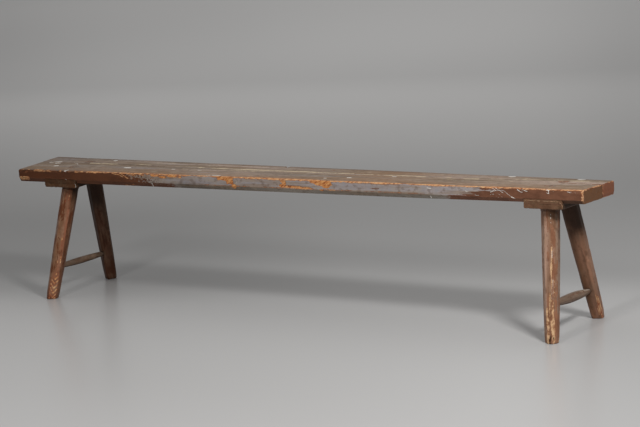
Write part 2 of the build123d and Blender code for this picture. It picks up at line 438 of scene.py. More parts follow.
def wear_batten(piece, end):
    """Saw marks, softened arrises and small chips."""
    x, y, w, *_, p = seat_coordinates(piece)
    rough = noise_at(p, 60 if end == "left" else 64)
    depth = 0.0003 + 0.0003 * (1 + rough((0.03, 0.12, 0.03)))
    depth += 0.00018 * (1 + rough((0.005, 0.08, 0.005), 1, 2))
    front = near(y, FRONT_FACE, 0.005)
    depth += 0.0016 * front * step(0.0, 0.7, rough((0.012, 0.2, 0.008), 2))
    if end == "left":
        depth += 0.0012 * spots(x, w, [(-836, -52, 5, 12, 1)]) * front
    sink(piece, depth)


def axes_along(way):
    """A bar's own axes: along its way, across it towards the bench's right end, and over both."""
    along = way / np.linalg.norm(way)
    across = np.array([1, 0, 0]) - along * along[0]
    across = across / np.linalg.norm(across)
    return along, across, np.cross(along, across)


def leg_axes(side, end):
    """A leg's foot, its rise per metre of height, and its own axes."""
    foot = np.array([LEG_TOP_X[end] + ENDS[end] * LEG_SPLAY[end], SIDES[side] * FOOT_Y, 0])
    top = np.array([LEG_TOP_X[end], SIDES[side] * LEG_TOP_Y, LEG_RISE])
    slope = (top - foot) / LEG_RISE
    return foot, slope, *axes_along(slope)


def leg(side, end):
    """A hewn leg: eight softened facets from the floor to the batten, then the round tenon."""
    name = f"{side}_{end}"
    foot, slope, _, across, over = leg_axes(side, end)
    inner = 0.5 - LEG_CORNER[name]
    turn = math.radians(LEG_TURN[name])
    corners = [(0.5, -inner), (0.5, inner), (inner, 0.5), (-inner, 0.5)]
    corners += [(-a, -b) for a, b in corners]
    turned = [(a * math.cos(turn) - b * math.sin(turn), a * math.sin(turn) + b * math.cos(turn)) for a, b in corners]
    unit, normals = outline(turned, [0.10] * 8, 0.05)
    swell = np.polyfit(*zip(*LEG_WIDTHS), 2)
    middle = BATTEN_X[end]
    tilt = -SEAT_TWIST * middle / SEAT_HALF
    up = np.array([0, -math.sin(tilt), math.cos(tilt)])

    def at(height, flat):
        return foot + np.outer(height, slope) + np.outer(flat[:, 0], across) + np.outer(flat[:, 1], over)

    def flat_at(height, inset):
        return unit * np.polyval(swell, height)[:, None] - normals * inset

    def meet(flat_of, w=None):
        """Heights at which the columns meet the floor or, where w is given, a plane of the seat."""
        height = np.full(len(unit), 0.0 if w is None else 0.4)
        origin, normal = (np.zeros(3), np.array([0, 0, 1])) if w is None else (seat_place(middle, 0.0, w), up)
        for _ in range(12):
            height = height - (at(height, flat_of(height)) - origin) @ normal / (slope @ normal)
        return height

    def ring(flat, w=None):
        return at(meet(lambda height: flat, w), flat)

    low = meet(lambda height: flat_at(height, FOOT_EASE))
    high = meet(lambda height: flat_at(height, SHOULDER_EASE), BATTEN_UNDER)
    length = np.mean(high - low)
    ends = np.array([0, 0.0004, 0.0011, 0.002, 0.003]) / length
    body = np.linspace(FOOT_EASE / length, 1 - SHOULDER_EASE / length, 122)[1:-1]
    first, last = flat_at(low, FOOT_EASE), flat_at(high, SHOULDER_EASE)
    circle = unit / np.linalg.norm(unit, axis=1)[:, None] * (TENON - 0.0002)
    rings = [ring(first * (1 - shrink)) for shrink in (0.94, 0.8, 0.6, 0.4, 0.2)]
    for share in [*ends, *body, *(1 - ends[::-1] * 4 / 3)]:
        height = low + (high - low) * share
        inset = ease(share * length, FOOT_EASE) + ease((1 - share) * length, SHOULDER_EASE)
        rings.append(at(height, flat_at(height, inset)))
    rings += [ring(last * (1 - share) + circle * share, BATTEN_UNDER) for share in (0.5, 1.0)]
    rings += [ring(circle, w) for w in (-0.05, -0.036, -0.024, -0.012, -0.004, -0.0012)]
    rings += [ring(circle * share, -0.0008) for share in (0.96, 0.75, 0.5, 0.25, 0.08)]
    return grid_mesh(f"visual_leg_{side}_{end}", np.array(rings))


def leg_coordinates(places, side, end):
    """Places in a leg's own axes, how far right of it the camera sees them, in mm, and whether they face it."""
    foot, slope, along, across, over = leg_axes(side, end)
    height = ((places - foot) @ along) / np.linalg.norm(slope)
    off = places - foot - np.outer(height, slope)
    p = np.stack([height, off @ across, off @ over], -1)
    off = np.outer(p[:, 1], across) + np.outer(p[:, 2], over)
    return p, off @ VIEW_RIGHT * 1000, step(-0.004, 0.004, -(off @ VIEW_AWAY))


# Each leg's depth of its dents, in metres, and their places as spots() takes them
LEG_DENTS = {
    "front_left": (0.0009, [(192, 4, 14, 1.6, 1), (142, 7, 12, 1.6, 1)]), "front_right": (0.0012, [(12, 4, 6, 5, 1)]),
    "back_left": (0, []), "back_right": (0.0022, [(203, 14, 10, 5, 1)]),
}


def wear_leg(piece, side, end):
    """Hewing marks, waves in the arrises, dents, and the split foot of the near leg."""
    places, normals = read(piece)
    p, lateral, facing = leg_coordinates(places, side, end)
    height = p[:, 0]
    name = f"{side}_{end}"
    rough = noise_at(p, LEG_SEED[name])
    depth = (0.0013 if side == "back" else 0.0004) + 0.0006 * (1 + rough((0.055, 0.018, 0.018)))
    depth += 0.0005 * (1 + rough((0.16, 0.03, 0.03), 3, 2))
    depth += 0.00016 * (1 + rough((0.09, 0.0035, 0.0035), 6, 2))
    outermost = step(0.021, 0.025, np.hypot(p[:, 1], p[:, 2]))
    depth += 0.0014 * step(0.25, 0.8, rough((0.022, 0.01, 0.01), 8)) * outermost
    depth += 0.0016 * (1 - step(0.0, 0.022, height)) * (1 + rough((0.03, 0.008, 0.008), 10))
    if name == "front_right":
        split = np.clip(1 - np.abs(lateral + 8 + 0.8 * np.sin(height * 260)) / 2.6, 0, 1)
        depth += 0.011 * split * facing * (1 - step(0.012, 0.030, height))
    deepest, dents = LEG_DENTS[name]
    depth += deepest * spots(height, lateral / 1000, dents) * facing
    # Near the floor the wear moves points level, so that the foot stays flat
    flat = normals * (1, 1, 0)
    flat = flat / np.maximum(np.linalg.norm(flat, axis=1), 1e-6)[:, None]
    low = 1 - step(0.004, 0.016, height)[:, None]
    shift = (normals * (1 - low) + flat * low) * (depth * (1 - step(0.378, 0.382, height)))[:, None]
    shift = shift.reshape(-1, len(piece.data.polygons[-1].vertices), 3)
    shift[:5] = shift[5] * np.array([0.06, 0.2, 0.4, 0.6, 0.8])[:, None, None]
    move(piece, places - shift.reshape(-1, 3))


def stretcher_axes(end):
    """Start, length and axes of a stretcher, between points on its legs' centre lines."""
    legs = [leg_axes(side, end)[:2] for side in SIDES]
    front, back = (foot + slope * height for (foot, slope), height in zip(legs, STRETCHER_HEIGHT[end]))
    along, across, over = axes_along(back - front)
    length = np.linalg.norm(back - front) + 2 * STRETCHER_OVERRUN
    return front - along * STRETCHER_OVERRUN, length, along, across, over


def stretcher(end):
    """A whittled bar with ten soft flats, swelling to its middle."""
    start, length, along, across, over = stretcher_axes(end)
    corners = [(math.cos(math.tau * i / 10), math.sin(math.tau * i / 10)) for i in range(10)]
    unit, _ = outline(corners, [0.35] * 10, 0.2)
    swell = STRETCHER_MIDDLE[end] - STRETCHER_END
    closing = [0.1, 0.4, 0.7, 0.96]
    shares = np.concatenate([np.zeros(4), np.linspace(0, 1, 110), np.ones(4)])
    shrinks = np.concatenate([closing, np.ones(110), closing[::-1]])
    rings = []
    for share, shrink in zip(shares, shrinks):
        fullness = np.interp(0.5 - abs(share - 0.5), [0.1, 0.2, 0.3, 0.4, 0.5], [0, 0.42, 0.75, 0.94, 1])
        body = STRETCHER_END + swell * fullness
        whole = float(step(0.06, 0.11, share) * (1 - step(0.89, 0.94, share)))
        radius = STRETCHER_TENON - 0.0003 + (body - STRETCHER_TENON) * whole
        flat = unit * radius * shrink
        rings.append(start + along * length * share + np.outer(flat[:, 0], across) + np.outer(flat[:, 1], over))
    return grid_mesh(f"visual_stretcher_{end}", np.array(rings))


def stretcher_coordinates(places, end):
    """Places along a stretcher and across it."""
    start, _, *axes = stretcher_axes(end)
    return (places - start) @ np.array(axes).T


def wear_stretcher(piece, end):
    """Knife cuts: uneven flats and a slightly lumpy line."""
    rough = noise_at(stretcher_coordinates(read(piece)[0], end), 120 if end == "left" else 124)
    depth = 0.0003 + 0.0006 * (1 + rough((0.035, 0.009, 0.009)))
    sink(piece, depth + 0.00012 * (1 + rough((0.05, 0.002, 0.002), 2, 2)))


# Paint masks ------------------------------------------------------------------------------------------

# Strokes on the seat, in mm, as strokes() takes them
WHITE_TOP = [
    (-876, -108, -874, -99, 4.6, 1.2), (-984, -36, -974, -33, 4.6, 0.9), (-1046, 12, -1034, 22, 4, 0.75),
    (-1030, 24, -1008, 30, 4, 0.8), (-1012, 2, -998, 8, 4, 0.75), (-940, 20, -915, 8, 3, 0.5),
    (-915, 8, -905, -6, 3, 0.5), (-677, -23, -661, -21, 6, 1), (-808, 82, -800, 83, 5, 0.8),
    (-480, -17, -470, -16, 4, 0.7), (-370, -17, -358, -15, 4, 0.6), (-281, -94, -268, -91, 3, 0.8),
    (-258, -90, -228, -92, 3.5, 1), (166, -68, 172, -67, 4, 0.8), (241, -43, 248, -42, 5, 1),
    (378, 5, 388, 7, 4, 0.7), (750, 96, 758, 97, 8, 1), (985, 98, 992, 102, 8, 1.1),
    (640, -20, 646, -18, 3, 0.6), (560, 60, 566, 62, 3, 0.5),
]
WHITE_FRONT = [
    (973, -3.5, 982, -4, 0.8, 0.9), (979, -5, 980, -14, 0.9, 1), (974, -12, 979, -14.5, 0.8, 0.8),
    (994, -6, 997, -8, 1.2, 0.5), (1040, -6, 1050, -9, 1.3, 0.55), (1050, -4, 1056, -11, 1.3, 0.5),
    (1062, -5, 1068, -10, 1.3, 0.5), (1072, -8, 1078, -11, 1.2, 0.4), (876, -5, 883, -9, 1.0, 0.8),
    (884, -11, 893, -13, 1.0, 0.7), (898, -7, 910, -10, 1.0, 0.7), (892, -4, 896, -8, 0.8, 0.6),
    (793, -4, 805, -11, 0.7, 0.8), (803, -3, 829, -17, 0.7, 0.75), (829, -9, 858, -30, 0.5, 0.75),
    (856, -28, 868, -33, 0.9, 0.95), (786, -16, 799, -12, 0.9, 0.85), (812, -19, 826, -31, 0.7, 0.55),
    (785, -24, 797, -22, 0.8, 0.6), (803, -27, 812, -31, 0.7, 0.5), (-553, -22, -551, -40, 0.9, 0.7),
    (-500, -31, -499, -44, 1.3, 0.8), (-540, -30, -536, -36, 1.3, 0.5), (576, -36, 578, -42, 1.6, 0.9),
    (566, -11, 582, -12, 1.3, 0.6), (505, -13, 514, -13, 1.4, 0.5), (-250, -12, -249, -22, 1.2, 0.5),
    (-150, -14, -148, -22, 1.2, 0.5), (700, -16, 712, -18, 1.4, 0.5), (733, -27, 748, -28, 1.3, 0.5),
]
# Pale strokes on the top; those along the joint, 22 to 44 mm across, are a painted highlight on the raised edge of the
# back plank
PALE_TOP_AND_JOINT_HIGHLIGHT = [
    (-872, 28, -757, 33, 6.5, 1), (-675, 32, -610, 38, 6, 0.95), (-590, 26, -470, 30, 5, 0.6),
    (-458, 31, -380, 29, 5.5, 0.75), (-350, 28, -250, 27, 6, 0.85), (-245, 27, -96, 26, 7.5, 1.1),
    (-85, 26, 10, 27, 7, 1.05), (12, 29, 70, 29, 6.5, 0.95), (80, 25, 215, 27, 7, 1.1),
    (225, 22, 290, 26, 6, 0.95), (296, 22, 370, 30, 5.5, 0.8), (380, 31, 480, 28, 7, 1.05),
    (520, 30, 590, 28, 5.5, 0.7), (625, 24, 670, 28, 6, 0.85), (700, 40, 800, 44, 6, 0.7),
    (-610, 70, -520, 74, 5, 0.5), (420, 62, 520, 66, 5, 0.5), (-380, 62, -250, 66, 5, 0.5),
    (-60, 70, 70, 74, 5, 0.45), (820, 30, 930, 33, 5, 0.5),
]
PALE_VEILS = [
    (-430, 8, -130, 12, 14, 0.42), (-500, 74, -300, 78, 10, 0.30), (-150, 52, 20, 56, 8, 0.24),
    (250, -8, 420, -4, 9, 0.22), (560, 0, 800, 6, 13, 0.46), (-700, 2, -600, 6, 8, 0.22),
    (420, 70, 560, 74, 8, 0.26), (820, -30, 960, -26, 9, 0.2), (820, 62, 1060, 72, 17, 0.56),
    (-440, -6, -120, -2, 14, 0.45), (-900, 70, -600, 76, 10, 0.32), (640, -72, 900, -66, 10, 0.24),
]
# Spots on the seat, in mm, as spots() takes them
VIOLET_TOP = [
    (-1015, 62, 50, 22, 0.9), (-900, -30, 70, 18, 0.7), (-640, -20, 90, 14, 0.6), (-560, 60, 80, 14, 0.5),
    (90, -30, 120, 12, 0.7), (-300, -50, 80, 9, 0.5), (120, 60, 100, 9, 0.5),
]


def paint_plank(piece, side):
    """Where each paint layer lies on a seat plank."""
    x, y, w, nx, ny, nw, p = seat_coordinates(piece)
    is_front = side == "front"
    seed = 200 if is_front else 230
    rough = noise_at(p, seed)
    top, under = step(0.55, 0.9, nw), step(0.6, 0.9, -nw)
    front, back = step(0.35, 0.8, -ny), step(0.35, 0.8, ny)
    face = front * (1 - top)
    endwise = step(0.5, 0.85, np.abs(nx))
    long_streak, fine_streak = rough((0.25, 0.012, 0.012)), rough((0.10, 0.004, 0.004), 4)
    patch, speck = rough((0.05, 0.03, 0.02), 8), rough((0.012, 0.007, 0.007), 12)
    slant = noise(np.stack([x + 1.3 * w, y, w], -1), (0.011, 0.02, 0.0032), seed + 24)
    ragged = 0.9 * rough((0.0075, 0.006, 0.0045), 20) + 0.5 * rough((0.004, 0.004, 0.0022), 22) + 0.2 * patch
    long_fleck = rough((0.045, 0.02, 0.0020), 16)

    # The grey coat, which thins out at both ends of the front and round its bare spots
    start = step(-0.65, -0.46, x - 0.04 * step(0.008, 0.026, -w))
    brown_from = 0.88 - 0.10 * step(0.010, 0.017, -w)
    finish = 1 - step(brown_from - 0.20, brown_from + 0.02, x)
    front_coat = start + 5.2 * start * (1 - start) * ragged - (1 - finish) - 6 * finish * (1 - finish) * long_fleck
    coat = top * (0.85 + 0.18 * long_streak) + face * np.clip(front_coat, 0, 1)
    halo = spots(x, w, [(a, b, 1.3 * ra + 3, 1.3 * rb + 1, strength) for a, b, ra, rb, strength in BARE_FRONT])
    coat -= 0.42 * halo * (0.5 + 1.1 * slant) * front * is_front
    coat += 0.5 * front * near(x, -0.57, 0.09) * step(0.15, 0.6, speck + 0.5 * slant)
    coat -= 0.6 * front * strokes(x, w, [(362, -20, 395, -20, 2.2, 1)])
    coat *= (1 - endwise) * (1 - under)
    # Where the grey coat reaches the front bevel it takes the darker low colours: painted shade on the downward-facing
    # bevel
    bevel_shade = 0
    if is_front:
        below = w < FRONT_BEVEL + 0.0005
        bevel_shade = front * below * (0.4 * step(-0.58, -0.50, x) + 0.6 * step(-0.42, -0.36, x)) * (1 - step(0.58, 0.70, x))
        coat = np.where(below & (front > 0.5), bevel_shade, coat)

    # Warm brown along the front and in bands of the top
    warm = near(y, FRONT_FACE, 0.052) * (0.75 + 0.5 * long_streak) + 0.5 * step(0.1, 0.7, long_streak)
    warm += 0.85 * near(x, 0.35, 0.17) * (1 + long_streak)
    warm += (0.5 * near(x, -0.55, 0.15) + 0.3 * near(x, 0.94, 0.12)) * (y < -0.03)
    warm *= top

    # Bare wood on the arrises, in spots and strokes of the front and in streaks of the top
    olive = 1 - step(-0.90, -0.66, x)
    arris = near(y, FRONT_FACE, 0.0135 * (1 + 0.45 * fine_streak + 0.5 * patch)) * is_front
    arris *= near(w, 0, (0.0043 + 0.0040 * olive) * (1 + 0.5 * patch + 0.4 * speck))
    worn = 0.98 - 0.38 * olive + 0.35 * fine_streak + 0.25 * patch + (0.25 + 0.5 * olive) * speck
    bare = arris * (worn - 0.24 * near(x, -0.55, 0.32) - 0.10 * near(x, -0.25, 0.12))
    if is_front:
        patches = np.clip(bare_front(x, w, p), 0, 1) * front
        warm = np.maximum(warm, np.clip(1.6 * patches, 0, 1) * (1 - top))
        flecks = near(x, -0.61, 0.05) + 0.7 * near(x, -0.48, 0.07) + 0.35 * near(x, 0.74, 0.09)
        line = 0.5 * step(-0.34, -0.28, x) + 0.5 * step(0.05, 0.15, x)
        line += -0.55 * step(0.20, 0.32, x) - 0.3 * step(0.58, 0.64, x)
        bare = highest(
            bare, patches, front * strokes(x, w, BARE_STROKES) * (0.75 + 0.5 * slant),
            front * strokes(x, w, [(-1085, -33, -1050, -32, 7, 1)]),
            0.75 * front * flecks * step(0.1, 0.5, slant + 0.4 * patch),
            front * line * near(w, FRONT_BEVEL + 0.0015, 0.0021) * (0.75 + 0.6 * patch + 0.4 * speck),
            0.9 * face * near(x, SEAT_HALF, 0.009 * (1 + 0.6 * speck + 0.5 * ragged)),
        )
    from_end = SEAT_HALF - np.abs(x)
    end_arris = near(from_end, 0, 0.0035) * step(0.1, 0.6, np.abs(nx))
    end_arris *= np.clip(near(w, 0, 0.005) + near(y, FRONT_FACE, 0.005), 0, 1)
    top_rim = top * near(from_end, 0, 0.0070 * (1 + 0.5 * patch + 0.8 * speck))
    bare = highest(
        bare, highest(end_arris, top_rim) * (0.8 + 0.4 * patch + 0.3 * speck) * (1 - 0.35 * olive),
        0.8 * near(np.hypot(y - BACK_FACE, w), 0, 0.004) * step(0.75, 1.05, x),
        0.5 * top * step(0.45, 0.85, fine_streak + 0.4 * patch),
    )
    if not is_front:
        bare = highest(bare, strokes(y, w, [(28, -3, 27, -34, 1.6, 0.7)]) * endwise * (x > 0))

    white = strokes(x, y, WHITE_TOP) * step(0.1, 0.5, nw) + strokes(x, w, WHITE_FRONT) * front * is_front
    white = highest(
        white, 0.75 * top * step(0.80, 0.98, speck + 0.25 * patch) * step(0.3, 1.0, np.abs(x)),
        0.6 * front * (near(x, 0.83, 0.06) + near(x, -0.52, 0.08)) * step(0.7, 0.9, speck),
    )
    # Pale streaks and veils on the top, with a painted highlight along the joint
    pale = highest(
        strokes(x, y, PALE_TOP_AND_JOINT_HIGHLIGHT) * top * (0.74 + 0.8 * rough((0.030, 0.005, 0.005), 28)),
        strokes(x, y, PALE_VEILS) * top * (0.8 + 0.7 * rough((0.05, 0.004, 0.004), 32)),
    )

    # Dirt in the joint, round the spots and on faint outlines of the tenons, darker along the back edge of the top,
    # and painted shade on the underside, on the back face, in a band above the front bevel and on the bevel at the
    # right end
    grime = 0.5 * near(y, JOINT, 0.0012) + 0.3 * step(0.2, 0.8, -long_streak)
    grime += 0.35 * (1 - step(0.008, 0.034 + 0.012 * long_streak, BACK_FACE - y))
    grime += 0.16 * (1 - step(-0.96, -0.86, x)) * step(0.03, 0.05, y)
    for end in ENDS:
        tenon_x = LEG_TOP_X[end] - ENDS[end] * 0.16 * LEG_SPLAY[end]
        for tenon_y in (-0.0457, 0.0457):
            grime += 0.4 * near(np.hypot(x - tenon_x, y - tenon_y), 0.0175, 0.0016)
    grime *= top
    # A darker olive arris at the left end, and painted shade on the underside and on the back face
    grime += 0.55 * olive * arris * (1 - 1.2 * speck) + 0.5 * under + 0.25 * back
    # Painted shade: a dark band just above the front bevel, left of the middle, that carries the bevel's shade higher
    bevel_shade_band = near(w, -0.0275, 0.0045) * step(-0.62, -0.50, x) * (1 - step(-0.38, -0.20, x))
    grime += 0.25 * front * bevel_shade_band * (0.9 + 0.6 * speck)
    grime += 0.45 * front * near(x, -0.53, 0.09) * step(0.0, 0.6, ragged + 0.4 * slant)
    # Painted shade on the front bevel at the right end
    grime += 0.75 * front * step(0.031, 0.035, -w) * step(0.98, 1.02, x)
    grime += 0.8 * endwise * near(y, JOINT, 0.0016) + 0.12 * face * step(0.0, 0.7, patch)

    # Tone and painted light falloff: each colour's darker copy at the left end grades into its lighter copy at the
    # right, nearer the key lamp; patches of the top and the middle of the front take their own tone
    tone = (0.45 + 0.40 * step(-0.05, -0.02, y)) * near(x, -0.26, 0.13) - 0.10 * near(x, 0.08, 0.12)
    tone += 0.65 * near(x, -0.58, 0.18) * step(0.02, 0.04, y) + 0.25 * near(x, 0.66, 0.16) * near(y, -0.01, 0.03)
    tone = 0.5 + 0.5 * x / SEAT_HALF + top * tone + 0.32 * face * near(x, 0.05, 0.13)
    paint(
        piece, p + (0, 0 if is_front else 0.4, 0), coat=coat, blue=highest(face, 0.7 * top * spots(x, y, VIOLET_TOP)),
        low=bevel_shade, bare=bare, white=white, pale=pale, warm=warm, grime=grime, endwise=endwise, tone=tone,
    )


# Strokes on the battens' fronts, in mm: two pale scratches, then a painted highlight in bare-wood colour along the
# waney rim, and the marks below it
BATTEN_WHITE = [(-837.5, -46, -836, -58, 0.8, 0.8), (-841, -46, -838, -48, 0.8, 0.6)]
BATTEN_RIM_HIGHLIGHT = [
    (897, -44, 900, -37.5, 1.0, 0.7), (900, -36.5, 1008, -36.5, 1.1, 0.75), (1008, -37, 1020, -43, 1.2, 0.9),
    (1020, -43, 1023, -50, 1.2, 0.8), (1023, -52, 1024, -58, 0.9, 0.6),
]
BATTEN_BARE = [(905, -52, 990, -54, 1.5, 0.7), (915, -58, 960, -59, 1.2, 0.6)]


def paint_batten(piece, end):
    """Paint layers of a batten: dull brown, pale where its front arris is chipped, with a painted highlight along the
    right one's rim, painted shade below and on its right side, and on the left one painted shade where it meets the
    seat.
    """
    x, y, w, nx, ny, nw, p = seat_coordinates(piece)
    patch = noise(p, (0.03, 0.03, 0.012), 260 if end == "left" else 270)
    white, bare = 0, 0.5 * near(y, FRONT_FACE, 0.003) * near(w, BATTEN_UNDER, 0.004) * step(0.0, 0.5, patch)
    # Some dirt all over, and painted shade below and on the side turned to the right
    grime = 0.08 + 0.35 * step(0.6, 0.9, -nw) + 0.72 * step(0.5, 0.9, nx)
    if end == "left":
        white = strokes(x, w, BATTEN_WHITE) * (y < -0.103)
        # Painted shade on the left batten's upper part, where it meets the seat
        grime += 0.3 * step(-0.004, 0.0, w + SEAT_THICK)
    else:
        # The rim strokes are a painted highlight
        marks = highest(strokes(x, w, BATTEN_RIM_HIGHLIGHT), 0.4 * strokes(x, w, BATTEN_BARE))
        bare = highest(bare, marks * step(0.4, 0.8, -ny))
    # The right batten takes the lighter copy of its colours: painted light falloff
    tone = float(end == "right")
    paint(piece, p[:, (1, 0, 2)] + (0, 3.1, 0), coat=0.4 + 0.3 * patch, bare=bare, white=white, grime=grime, tone=tone)


# Strokes on the legs, in mm: (height, place across, height, place across, half width, strength)
LEG_BARE = {
    "front_left": [
        (370, 4, 335, 3, 3, 0.6), (362, -6, 325, -7, 2.5, 0.5), (207, 3, 178, 5.5, 2.2, 1), (154, 7, 124, 10, 2.3, 1),
        (128, -1, 84, 1, 2.5, 0.7), (105, 9, 74, 9, 2.4, 0.8), (60, -12, 24, -11, 2.5, 0.7), (18, 1, 0, 1, 13, 0.9),
        (30, 9, 10, 8, 3, 0.8),
    ],
    "front_right": [
        (299, -4, 280, -3, 1.2, 0.5), (272, -1, 184, 1, 3.2, 1.1), (225, -4, 150, -1, 3, 0.8),
        (180, 6, 130, 6, 2.6, 0.7), (140, -8, 70, -9, 3, 0.8), (120, 0, 60, 1, 4, 1), (96, -16, 46, -15, 4, 0.9),
        (70, -12, 20, -11, 3, 0.8), (60, 1, 6, 2, 7, 1), (375, -2, 355, -1, 1.5, 0.5), (25, -13, 0, -12, 5, 0.8),
        (345, -6, 330, -7, 1.6, 0.4), (205, 13, 160, 13, 2, 0.5),
    ],
    "back_left": [(12, 0, 0, 0, 14, 0.4)],
    "back_right": [
        (84, 7, 24, 8, 2.0, 1.2), (76, 12, 18, 14, 2.4, 1.2), (50, 2, 14, 3, 1.7, 1.1), (36, -6, 12, -5, 1.5, 0.7),
        (22, 11, 2, 12, 4, 0.9),
    ],
}
LEG_WHITE = {
    "front_left": [(300, -12, 290, -12, 1.2, 0.35), (98, 10, 84, 9, 0.7, 0.4)],
    "front_right": [
        (379, -5, 374, -4, 1.0, 0.7), (368, -3, 364, -3, 0.9, 0.6), (358, -3, 352, -2, 0.9, 0.7),
        (346, -2, 342, -3, 0.8, 0.6), (318, -14, 306, -15, 0.9, 0.45), (262, 0, 240, 0, 1.0, 0.6),
        (224, 1, 206, 1, 0.9, 0.5), (296, -6, 290, -3, 0.9, 0.4),
    ],
    "back_left": [],
    "back_right": [(204, 14, 198, 14, 1.2, 0.3)],
}
# Warm brown strokes; the front right leg's first one, along its left edge, is a painted highlight
LEG_WARM = {
    "front_left": [(300, 6, 60, 6, 6.5, 0.9), (365, 2, 300, 4, 5, 0.5)],
    "front_right": [(330, -22, 70, -21, 5, 0.8), (300, 16, 180, 16, 3, 0.4)],
    "back_left": [(260, 6, 60, 8, 8, 0.5)],
    "back_right": [(250, 16, 120, 16, 5, 0.5)],
}
LEG_SHADE = {
    "front_left": [(400, 0, 372, 0, 30, 0.35)],
    "front_right": [(400, 26, 300, 25, 4, 0.5), (400, 0, 381, 0, 30, 0.45)],
    "back_left": [(400, 0, 330, 0, 34, 0.35), (330, -20, 280, -20, 6, 0.3), (330, 20, 200, 20, 6, 0.2)],
    "back_right": [(400, 0, 330, 0, 34, 0.3), (300, -20, 60, -20, 10, 0.35), (72, -14, 24, -12, 6, 0.2)],
}


def paint_leg(piece, side, end):
    """Paint layers of a leg: mauve brown, rubbed to streaky wood towards the foot, with painted shade under the batten
    and on some facets, and a painted highlight on the front right leg's left edge.
    """
    p, lateral, facing = leg_coordinates(read(piece)[0], side, end)
    height, across = p[:, 0], lateral / 1000
    name = f"{side}_{end}"
    rough = noise_at(p, 300 + LEG_SEED[name])
    streak, patch = rough((0.08, 0.004, 0.004)), rough((0.05, 0.016, 0.016), 4)
    fleck = rough((0.016, 0.003, 0.003), 8, 2)
    foot = (0.45 if side == "back" else 0.8) * (1 - step(0.0, 0.14, height))
    bare = highest(
        np.clip(strokes(height, across, LEG_BARE[name]), 0, 1) * facing * (0.72 + 0.35 * streak + 0.45 * fleck),
        foot * step(-0.1, 0.6, streak + 0.3 * patch), 0.55 * step(0.5, 0.9, streak + 0.4 * patch),
    )
    warm = strokes(height, across, LEG_WARM[name]) * facing * (0.8 + 0.4 * streak)
    # Some dirt, and the painted shade strokes of LEG_SHADE
    grime = 0.12 * step(0.2, 0.8, -patch) + strokes(height, across, LEG_SHADE[name]) * facing * (1 + 0.25 * patch)
    veil = 0
    if name == "front_left":
        figure = near(height, 0.046, 0.045) * near(lateral, 1, 14) * facing
        flames = np.sin(math.tau * (height * 1000 - 1.3 * np.abs(lateral - 1) + 3 * patch) / 15.5)
        bare = highest(bare * (1 - figure), 1.2 * figure * step(-0.2, 0.5, flames))
        warm = highest(warm, figure)
        grime += 0.3 * figure * step(0.1, 0.8, -flames)
        # Painted shade on the front left leg's right facet, darker towards the top
        grime += step(11, 14, lateral) * facing * (0.30 + 0.42 * step(0.31, 0.345, height))
    elif name == "back_right":
        warm = highest(warm, 0.7)
        # Darker all over and around 9 cm up, and painted shade from the seat over the upper part
        grime += 0.12 + 0.68 * step(0.215, 0.35, height + 0.001 * lateral) + 0.26 * near(height, 0.09, 0.05)
    elif name == "back_left":
        grime += 0.50 + 0.12 * step(0.1, 0.3, height)
    else:
        # Painted shade in the split foot, in the dent beside it and on both side facets
        shade = 0.9 * (np.abs(lateral + 8) < 3.0) * (1 - step(0.010, 0.026, height))
        shade += 0.1 * step(10, 14, lateral) + 0.12 * step(-15, -21, lateral)
        grime += facing * (shade + 0.9 * spots(height, across, [(12, 2.5, 4, 2.2, 1)]))
        veil = 0.72 * near(lateral, 1, 7) * (1 - step(0.235, 0.285, height)) * step(0.06, 0.16, height)
        veil = veil * facing * (0.8 + 0.6 * streak + 0.5 * fleck)
    end_grain = step(0.440, 0.446, height)
    flank = step(-14, -22, lateral) if end == "left" else step(8, 14, lateral)
    # Legs at the right end take the lighter copies of their colours: painted light falloff
    paint(
        piece, p + (0, LEG_SEED[name] * 0.1, 0), coat=0.5 + 0.5 * patch + 0.25 * streak + 0.5 * warm,
        blue=0.6 * flank * facing * (1 - warm), bare=np.clip(bare, 0, 1) * (1 - end_grain),
        white=strokes(height, across, LEG_WHITE[name]) * facing, pale=veil, warm=warm,
        grime=grime * (1 - end_grain), endwise=end_grain, tone=float(end == "right"),
    )


def paint_stretcher(piece, end):
    """Paint layers of a stretcher: dull grey brown with a few pale flecks, a painted highlight on the upward faces and
    painted shade below.
    """
    places, normals = read(piece)
    up = normals[:, 2]
    p = stretcher_coordinates(places, end)
    left = end == "left"
    rough = noise_at(p, 460 if left else 480)
    streak, patch = rough((0.05, 0.003, 0.003)), rough((0.03, 0.01, 0.01), 4)
    flecks = step(0.35, 0.7, rough((0.008, 0.003, 0.003), 8)) * near(p[:, 0], 0.19, 0.05)
    below = step(0.2, 0.8, -up)
    # Painted highlight on the upward faces, on the right stretcher rising from 5 to 22 cm along
    painted_top_highlight = (0.30 if left else 0.55 * step(0.05, 0.22, p[:, 0])) * step(0.1, 0.8, up) * (1 + 0.6 * patch)
    # Some dirt, and painted shade below and, on the right stretcher, on its sides
    grime = 0.1 + 0.4 * below + (0 if left else 0.2) * (1 - step(-0.1, 0.6, up)) + 0.2 * step(0.2, 0.8, -patch)
    # The right stretcher takes the lighter copy of its colours: painted light falloff
    paint(
        piece, p + (0, 6.3, 0), coat=0.75 + 0.4 * patch - 0.6 * below, blue=0.45,
        bare=0.5 * step(0.45, 0.9, streak) + 0.7 * flecks, white=(0.7 if left else 0) * flecks, pale=painted_top_highlight,
        grime=grime, tone=float(end == "right"),
    )


# Materials ----------------------------------------------------------------------------------------------

